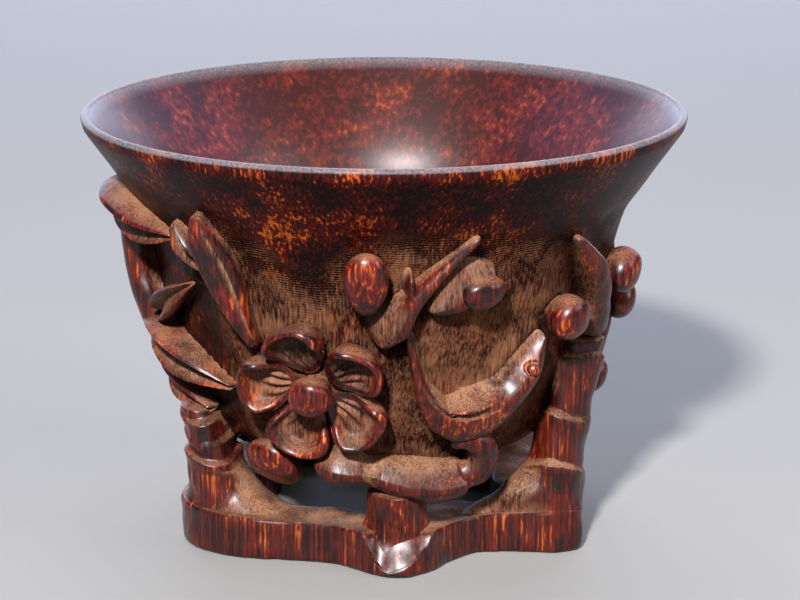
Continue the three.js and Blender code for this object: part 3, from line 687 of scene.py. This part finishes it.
def blunted(share, length, round_end):
    """How full a form is at a share of its length, when both its ends are rounded off."""
    end = np.clip(np.minimum(share, 1 - share) * length / round_end, 0, 1)
    return np.sqrt(np.clip(1 - (1 - end) ** 2, 0, 1))


def limb_shape(section, girths, stations):
    """A branch that stands free of the wall: a section, outward and up, along a curve through its points."""
    path = [on_wall(degrees, up_wall(rise), off) for degrees, rise, off in stations]
    length = curve_length(path)

    def shape(across, share):
        spot = threaded(path, share)
        way = unit(course(path, share))
        outward = unit(spot * (1, 1, 0))
        outward = unit(outward - way * np.sum(outward * way, axis=1, keepdims=True))
        upward = np.cross(outward, way)
        girth = threaded(np.reshape(girths, (-1, 1)), share)[:, 0]
        blunt = blunted(share, length, BRANCH_END)
        out, up, rub = threaded(section, across).T
        return spot + outward * (out * girth * blunt)[:, None] + upward * (up * girth * blunt)[:, None], rub

    return shape


def carve(piece, path, width, depth):
    """Cuts a matt groove into the outer face of a piece, along points by degrees round and height in mm."""
    place, outward = coords(piece)
    azimuth, height, _ = off_wall(place)
    girth = np.hypot(*place[:, :2].T) / MM
    line = threaded(path, np.linspace(0, 1, GROOVE_POINTS))
    gaps = np.hypot(np.radians(azimuth[:, None] - line[:, 0]) * girth[:, None], height[:, None] - line[:, 1])
    nearest = gaps.argmin(axis=1)
    taper = np.sin(np.pi * np.clip((nearest + 2) / (GROOVE_POINTS + 3), 0, 1)) ** 0.5
    hold = np.clip(1 - (gaps.min(axis=1) / (width * taper)) ** 2, 0, 1)
    hold *= np.einsum("ij,ij->i", outward[:, :2], unit(place * (1, 1, 0))[:, :2]) > 0
    reshape(piece, place - outward * (depth * MM * hold)[:, None])
    mark(piece, "polish", read(piece, "polish") * (1 - eased(0.05, 0.5, hold)))


limbs = {}
for node, branch in BRANCHES.items():
    limbs[node] = wrapped(node, 84, 150, limb_shape(*branch), uneven=0.14, fibre=0.03)
carve(limbs["front_branch"], [(-4.6, 18), (-3.8, 15), (-3.2, 12.5)], width=1.4, depth=0.7)
for node, piece in limbs.items():
    fitted(piece, node, branch_wood)


# Crescent and forked twig
# Growth cut as a shelf: a matt slope runs out from the wall to a sharp, rubbed edge, and the face below it is
# polished and undercut. The crescent has a long notch and a knot, and the twig a web of wood behind its fork.
SHELF = [
    (-0.5, -0.25, 1), (-0.9, 0.15, 1), (-1, 0.46, 1), (-0.92, 0.78, 1), (-0.7, 0.95, 1), (-0.45, 1, 1),
    (-0.25, 1, 1), (-0.1, 0.95, 1), (0.05, 0.82, 1), (0.2, 0.64, 1), (0.36, 0.44, 0.9), (0.5, 0.26, 0.2),
    (0.8, 0.08, 0), (1.12, -0.25, 0), (-0.5, -0.25, 1),
]
STEP = [
    (-0.5, -0.25, 1), (-0.9, 0.15, 1), (-1, 0.5, 1), (-0.84, 0.84, 1), (-0.3, 0.98, 1), (0.26, 1, 1),
    (0.36, 0.98, 0.9), (0.44, 0.84, 0.1), (0.62, 0.86, 0), (0.74, 1.02, 0.9), (0.84, 1.02, 1),
    (0.93, 0.9, 0.2), (1.05, 0.5, 0), (1.25, -0.25, 0), (-0.5, -0.25, 1),
]
SLOPE = [
    (-0.5, -0.25, 1), (-0.84, 0.12, 1), (-1, 0.4, 1), (-1, 0.66, 1), (-0.92, 0.86, 1), (-0.76, 0.97, 1),
    (-0.5, 1.0, 1), (-0.3, 0.98, 1), (-0.1, 0.9, 1), (0.1, 0.76, 1), (0.35, 0.58, 1), (0.65, 0.36, 0.8),
    (0.95, 0.1, 0.3), (1.1, -0.25, 0), (-0.5, -0.25, 1),
]
ROD = [
    (-0.6, -0.25, 1), (-0.92, 0.2, 1), (-1, 0.5, 1.4), (-0.8, 0.8, 1.8), (-0.4, 0.98, 1.8), (0.1, 0.97, 1.8),
    (0.5, 0.78, 1.8), (0.82, 0.46, 1.2), (1, 0.1, 0.4), (0.8, -0.25, 0), (-0.6, -0.25, 1),
]
WEB = [(side, rise, min(rub, 0.35) if side > -0.5 else rub) for side, rise, rub in SLOPE]
SHELVES = {
    "crescent_root": (SHELF, STEP, [
        (5.5, 0.51, 0.5, 1.2), (8.0, 0.405, 1.0, 1.8), (10.5, 0.315, 1.3, 2.3), (14, 0.257, 1.8, 2.7),
        (17, 0.246, 2.1, 2.9)]),
    "crescent_branch": (STEP, SHELF, [
        (13.6, 0.26, 1.7, 2.6), (19, 0.242, 2.7, 3.2), (25, 0.252, 2.7, 3.2), (31, 0.298, 2.5, 3.0),
        (36.5, 0.375, 2.1, 2.8), (40.8, 0.468, 0.4, 1.2)]),
    "fork_twig": (WEB, ROD, [
        (-1.2, 0.475, 0.9, 1.4), (0.8, 0.535, 2.5, 2.4), (5.4, 0.605, 1.6, 2.5), (11, 0.68, 0.95, 1.9),
        (19.5, 0.79, 0.4, 0.8)]),
    "fork_prong": (SLOPE, SLOPE, [
        (7.4, 0.628, 0.5, 2.4), (6.3, 0.618, 0.55, 2.3), (5.2, 0.63, 0.6, 2.3), (5.0, 0.665, 0.65, 2.3),
        (5.3, 0.7, 0.4, 1.4)]),
}
RELIEF_END = 0.8
RELIEF_BASE = 0.3
CRESCENT_FLECK = 0.5


def relief_shape(first, last, stations):
    """A section, from a first form to a last one, along a line on the wall: degrees round, rise, half width
    and crest at each of its stations."""
    line = [(math.radians(degrees) * WAIST, float(up_wall(rise)), half, crest)
            for degrees, rise, half, crest in stations]
    length = curve_length([spot[:2] for spot in line])

    def shape(across, share):
        x, up, half, crest = threaded(line, share).T
        squeeze = np.interp(up, wall_way, wall_line[:, 0]) / WAIST
        way = unit(course(line, share)[:, :2] * np.stack([squeeze, np.ones(len(up))], axis=1))
        blunt = blunted(share, length, RELIEF_END)
        turned = eased(0.3, 0.7, share)[:, None]
        side, rise, rub = (threaded(first, across) * (1 - turned) + threaded(last, across) * turned).T
        aside = side * np.maximum(half, 0.1) * blunt
        degrees = np.degrees((x - way[:, 1] * aside / squeeze) / WAIST)
        off = RELIEF_BASE + rise * np.maximum(crest, 0.2) * blunt
        return on_wall(degrees, up + way[:, 0] * aside, off), rub

    return shape


def knot(piece, azimuth, height, radius, rise):
    """Raises a round knot with a groove about it, by its direction and height in mm."""
    place, outward = coords(piece)
    degrees, level, _ = off_wall(place)
    gap = np.hypot(np.radians(degrees - azimuth) * np.hypot(*place[:, :2].T) / MM, level - height) / radius
    ball = rise * np.sqrt(np.clip(1 - gap ** 2, 0, 1))
    moat = 0.45 * rise * bell(gap, 1.15, 0.18)
    reshape(piece, place + outward * ((ball - moat) * MM)[:, None])


shelves = {}
for node, shelf in SHELVES.items():
    shelves[node] = wrapped(node, 112, 150, relief_shape(*shelf), uneven=0.07, fibre=0.02)
carve(shelves["crescent_branch"], [(25.5, 28.4), (29, 27.9), (32.4, 27.2)], width=0.4, depth=0.3)
knot(shelves["crescent_branch"], azimuth=37.2, height=27.0, radius=0.75, rise=0.4)
enrich(shelves["crescent_branch"], CRESCENT_FLECK)
for node, piece in shelves.items():
    fitted(piece, node, branch_wood)


# Stems
# Thin round growth in relief on the wall, from the tops of the trunks towards the rim.
ROUND = [
    (-0.7, -0.25, 1), (-0.95, 0.2, 1), (-1, 0.5, 1), (-0.78, 0.84, 1), (-0.3, 1.0, 1), (0.3, 0.98, 1),
    (0.8, 0.8, 0.8), (1, 0.45, 0.3), (0.95, 0.15, 0), (0.7, -0.25, 0), (-0.7, -0.25, 1),
]
STEMS = {
    "right_stem": [
        (61, 0.43, 2.2, 3.0), (58.5, 0.52, 1.8, 3.0), (54.5, 0.62, 1.9, 3.0), (46, 0.74, 0.5, 1.0)],
    "left_stem": [
        (-74, 0.33, 2.2, 3.0), (-78, 0.46, 2.3, 3.6), (-81, 0.6, 2.2, 3.6), (-79, 0.73, 1.8, 2.8)],
    "side_twig": [
        (64, 0.2, 2.0, 2.6), (70, 0.28, 1.6, 2.4), (74, 0.37, 1.3, 2.0), (77, 0.44, 1.0, 1.6)],
    "back_twig": [
        (123, 0.35, 2.0, 2.8), (128, 0.5, 1.6, 2.6), (146, 0.57, 1.3, 2.4), (156, 0.56, 0.8, 1.6)],
    "back_left_twig": [
        (-126, 0.36, 2.0, 2.8), (-128, 0.5, 1.6, 2.6), (-140, 0.64, 1.2, 2.2), (-158, 0.74, 0.5, 1.0)],
}
for node, stations in STEMS.items():
    piece = wrapped(node, 72, 150, relief_shape(ROUND, ROUND, stations), uneven=0.12, fibre=0.03)
    fitted(piece, node, branch_wood)


# Blossoms
# Five dished petals with rolled rims round a smooth ball. Stamens are cut as ridges from the eye outwards.
PETALS = 5
BLOSSOM_RADIUS, BLOSSOM_EYE = 9.4, 2.1
PETAL_RIM, PETAL_FLOOR = 3.5, 0.27
PETAL_FULLNESS, PETAL_GAP = 1.4, 0.4
RIDGES = 25
RIDGE_HEIGHT = 0.26
SPOON = [
    (0.78, -0.25, 1), (0.9, 0.05, 1), (0.99, 0.4, 1), (1.0, 0.72, 1.2), (0.97, 0.9, 1.5), (0.91, 0.99, 1.5),
    (0.84, 1.0, 1.2), (0.77, 0.86, 0.9), (0.69, 0.58, 0.6), (0.59, 0.39, 0.3), (0.4, 0.29, 0.2),
    (0.15, 0.27, 0.2), (0, 0.27, 0.2),
]
BALL = [
    (1.7, -0.2, 1), (1.75, 0.15, 1), (1.8, 0.3, 1), (2.35, 0.4, 1), (2.6, 0.53, 1), (2.5, 0.72, 1.4),
    (2.05, 0.88, 1.7), (1.1, 0.98, 1.8), (0, 1, 1.8),
]
BALL_HEIGHT = 4.6
BALL_FLECK = 0.5
BLOSSOMS = {"front": (-17.5, 0.335, 33), "back": (168.0, 0.5, 15)}
blossom_wood = carved_wood(
    "rubbed_blossom_wood", "#1a0a08", "#6c1711", "#b85c1f", "#92684f", (0.42, 5),
    gloss=0.33, specular=0.42, up_dust=0.8, rich=0.035)


def beside(azimuth, up, x, y, off):
    """Points by how far they lie to the right of a place on the wall, up from it and off the wall, in mm."""
    degrees = azimuth + np.degrees(x / np.interp(up + y, wall_way, wall_line[:, 0]))
    return on_wall(degrees, up + y, off)


def petal_shape(azimuth, rise, phase, k):
    """A dished spoon with a rolled rim, set with its narrow end at the blossom's eye."""
    half = (BLOSSOM_RADIUS - BLOSSOM_EYE) / 2
    centre = BLOSSOM_EYE + half
    sector = math.pi / PETALS
    wide = (centre - half / 2) * math.tan(sector) * PETAL_FULLNESS - PETAL_GAP
    heading = math.radians(phase) + k * 2 * sector
    eye_up = float(up_wall(rise))

    def shape(across, share):
        radius, level, rub = threaded(SPOON, share).T
        angle = across * math.tau
        ripple = 1 + 0.03 * np.cos(3 * angle + k) + 0.02 * np.cos(5 * angle + 2 * k)
        far = radius * np.cos(angle) * ripple
        out = centre + far * half
        aside = radius * np.sin(angle) * ripple * wide * (1 + 0.3 * far)
        lift = 0.5 + 0.5 * eased(-0.9, 0.5, far)
        hood = eased(-0.7, 0.35, far)
        dish = PETAL_FLOOR + (level - PETAL_FLOOR) * hood
        level = np.where(share > 0.25, dish, np.minimum(level, PETAL_FLOOR + hood))
        x = out * math.cos(heading) - aside * math.sin(heading)
        y = out * math.sin(heading) + aside * math.cos(heading)
        spoke = np.arctan2(aside, out)
        ridge = np.cos(RIDGES * spoke + 0.8 * np.sin(out)) * RIDGE_HEIGHT
        ridge *= eased(0.55, 0.85, share) * (1 - eased(5.5, 8.0, out)) * eased(1.6, 2.6, out)
        return beside(azimuth, eye_up, x, y, RELIEF_BASE + level * PETAL_RIM * lift + ridge), rub

    return shape


def ball_shape(azimuth, rise):
    """The round pistil on its short neck."""
    eye_up = float(up_wall(rise))

    def shape(across, share):
        radius, level, rub = threaded(BALL, share).T
        x, y = radius * np.cos(across * math.tau), radius * np.sin(across * math.tau)
        return beside(azimuth, eye_up, x, y, RELIEF_BASE + level * BALL_HEIGHT), rub

    return shape


for side, (degrees, rise, phase) in BLOSSOMS.items():
    node = f"{side}_pistil"
    piece = wrapped(node, 72, 60, ball_shape(degrees, rise), uneven=0.04, fibre=0.015)
    enrich(piece, BALL_FLECK)
    fitted(piece, node, blossom_wood)
    for k in range(PETALS):
        node = f"{side}_petal_{k + 1}"
        piece = wrapped(node, 120, 96, petal_shape(degrees, rise, phase, k), uneven=0.06, fibre=0.02)
        fitted(piece, node, blossom_wood)


# Buds and knots
# Egg-shaped buds and round knots, left in high relief and rubbed until they shine.
EGG = [
    (0.55, -0.28, 1), (0.72, 0.0, 1), (0.92, 0.2, 1), (1.0, 0.42, 1), (0.96, 0.64, 1), (0.8, 0.83, 1),
    (0.5, 0.95, 1), (0.2, 0.995, 1), (0, 1, 1),
]
EGG_TAPER = 0.16
BUDS = {
    "hanging_bud": (-3.8, 0.675, 9.2, 5.2, 3.7, 180), "fork_bud": (21.5, 0.63, 5.6, 4.4, 3.4, -70),
    "right_bud": (45.5, 0.515, 5.6, 5.4, 4.4, 0), "side_bud": (70, 0.585, 6.2, 6.0, 4.2, 0),
    "lower_side_bud": (78, 0.47, 5.0, 5.0, 4.0, 0), "side_knot": (83, 0.225, 4.6, 4.2, 3.6, 0),
    "under_bud": (-35, 0.085, 7.4, 7.0, 3.6, 180), "back_bud": (140, 0.66, 6.4, 5.0, 4.0, 20),
    "back_low_bud": (-160, 0.26, 6.0, 5.4, 4.0, 0), "back_left_bud": (-118, 0.62, 6.6, 5.0, 4.0, -25),
}


def bud_shape(azimuth, rise, length, width, height, turn):
    """A bud by its middle, length, width and height, with its blunt end turned from straight down."""
    middle = float(up_wall(rise))
    cos, sin = math.cos(math.radians(turn)), math.sin(math.radians(turn))

    def shape(across, share):
        radius, level, rub = threaded(EGG, share).T
        far = radius * np.cos(across * math.tau)
        x = radius * np.sin(across * math.tau) * width / 2 * (1 - EGG_TAPER * far)
        y = far * length / 2
        off = RELIEF_BASE + level * height
        return beside(azimuth, middle, x * cos - y * sin, x * sin + y * cos, off), rub

    return shape


for node, bud in BUDS.items():
    piece = wrapped(node, 84, 64, bud_shape(*bud), uneven=0.05, fibre=0.02)
    fitted(piece, node, blossom_wood)


# Leaves
# Folded leaves with a hollow down the middle and rubbed edges. The long one is a blade with a narrow groove,
# and the one beside the fork's bud a dusty slope.
FOLDED = [
    (-0.6, -0.25, 1), (-0.9, 0.2, 1), (-1, 0.52, 1), (-0.92, 0.84, 1), (-0.78, 0.95, 1), (-0.74, 0.95, 0.8),
    (-0.4, 0.74, 0.1), (0, 0.5, 0), (0.4, 0.76, 0.1), (0.76, 1.0, 0.8), (0.82, 1.0, 1), (0.95, 0.84, 1),
    (1, 0.52, 1), (0.9, 0.2, 1), (0.6, -0.25, 1), (-0.6, -0.25, 1),
]
BLADE = [
    (-0.6, -0.25, 1), (-0.94, 0.3, 1), (-1, 0.6, 1), (-0.92, 0.88, 1), (-0.76, 1, 1), (-0.5, 0.98, 1),
    (-0.2, 0.9, 1), (0.1, 0.8, 1), (0.3, 0.73, 0.9), (0.42, 0.63, 0.1), (0.55, 0.57, 0), (0.68, 0.65, 0.3),
    (0.8, 0.72, 1), (0.93, 0.62, 1), (1, 0.35, 1), (0.6, -0.25, 1), (-0.6, -0.25, 1),
]
LEAVES = {
    "long_leaf": [
        (-40, 0.83, 0.6, 1.2), (-39.5, 0.76, 2.0, 2.6), (-37.5, 0.67, 2.2, 3.0), (-35, 0.56, 1.5, 2.6),
        (-32, 0.44, 0.5, 1.2)],
    "small_leaf": [
        (-49, 0.785, 0.6, 1.2), (-47, 0.73, 1.7, 2.4), (-44, 0.68, 1.3, 2.0), (-40.5, 0.63, 0.3, 0.8)],
    "upper_leaf": [
        (-84, 0.81, 1.0, 2.2), (-75, 0.775, 2.8, 3.4), (-63, 0.74, 2.4, 3.0), (-52, 0.73, 0.4, 1.0)],
    "fork_leaf": [(-70, 0.455, 1.2, 2.4), (-61, 0.515, 1.7, 2.6), (-50.5, 0.585, 0.4, 1.0)],
    "broad_leaf": [
        (-84, 0.415, 0.8, 2.0), (-72, 0.39, 2.4, 3.8), (-58, 0.345, 2.4, 3.6), (-43, 0.29, 0.4, 1.0)],
    "low_leaf": [(-84, 0.28, 0.8, 2.0), (-72, 0.245, 2.4, 3.2), (-56, 0.19, 0.5, 1.4)],
    "back_leaf": [
        (106, 0.6, 0.5, 1.0), (111, 0.49, 2.4, 3.0), (116, 0.37, 1.8, 2.6), (121, 0.29, 0.5, 1.2)],
    "back_left_leaf": [
        (-98, 0.7, 0.5, 1.0), (-103, 0.58, 2.4, 3.0), (-110, 0.46, 1.8, 2.6), (-119, 0.38, 0.5, 1.2)],
    "bud_leaf": [(9.6, 0.575, 0.5, 1.0), (14, 0.61, 2.2, 2.0), (20, 0.66, 2.6, 2.2), (25, 0.665, 1.0, 1.2)],
}
for node, stations in LEAVES.items():
    section = {"bud_leaf": WEB, "long_leaf": BLADE}.get(node, FOLDED)
    piece = wrapped(node, 96, 130, relief_shape(section, section, stations), uneven=0.1, fibre=0.025)
    fitted(piece, node, blossom_wood)
